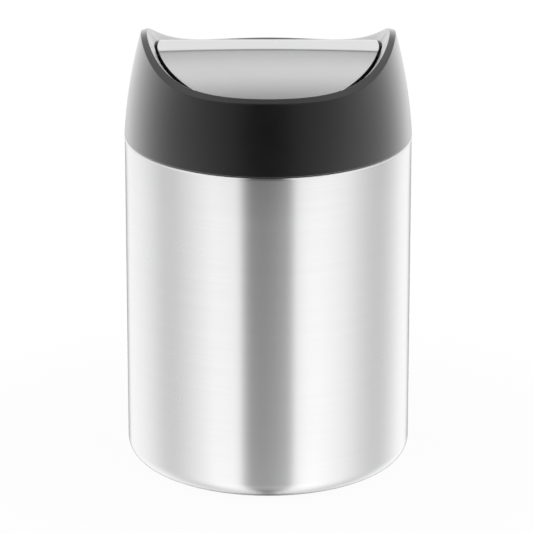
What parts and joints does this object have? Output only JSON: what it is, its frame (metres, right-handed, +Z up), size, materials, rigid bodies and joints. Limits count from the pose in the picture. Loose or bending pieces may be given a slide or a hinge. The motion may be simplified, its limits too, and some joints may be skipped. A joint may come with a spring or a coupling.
{
  "type": "countertop trash can with swing lid",
  "caption": "Small round steel can with a black horned collar, a lid that swings about a line through the horns, and a lift-out pail.",
  "frame": {"origin": "on the can's axis, on the surface that it stands on", "axes": "+Z up along the can's axis, +X to the right through the horns and along the lid's pivot line, -Y towards the front"},
  "size_m": [0.1152, 0.1152, 0.1793],
  "materials": {
    "can_steel": "brushed stainless sheet, clear",
    "lid_steel": "satin brushed stainless sheet",
    "base_steel": "plain pressed steel sheet",
    "collar_plastic": "black moulded plastic, fine satin texture",
    "inner_plastic": "black moulded plastic, plain",
    "pail_plastic": "dark grey moulded plastic",
    "foot_rubber": "black rubber",
    "bush_plastic": "natural acetal",
    "hardware_steel": "turned steel"
  },
  "bodies": {
    "can": {"steel_shell": "can_steel", "base_plate": "base_steel", "foot_ring": "foot_rubber"},
    "pail": {"inner_pail": "pail_plastic"},
    "collar": {"collar": "collar_plastic", "collar_sleeve": "inner_plastic", "grip_ring": "foot_rubber", "sleeve_screws": "hardware_steel", "pivot_bush_left": "bush_plastic", "pivot_bush_right": "bush_plastic"},
    "lid": {"lid_skin": "lid_steel", "lid_frame": "inner_plastic", "pivot_pin_left": "hardware_steel", "pivot_pin_right": "hardware_steel", "balance_weight": "base_steel", "weight_screws": "hardware_steel"}
  },
  "joints": [
    {"name": "pail_lift", "type": "slide", "parent": "can", "child": "pail", "axis": [0, 0, 1], "range_m": [0, 0.15]},
    {"name": "collar_lift", "type": "slide", "parent": "pail", "child": "collar", "axis": [0, 0, 1], "range_m": [0, 0.08]},
    {"name": "lid_swing", "type": "hinge", "parent": "collar", "child": "lid", "pos_m": [0, 0, 0.1681], "axis": [1, 0, 0], "range_deg": [-70, 70]}
  ]
}
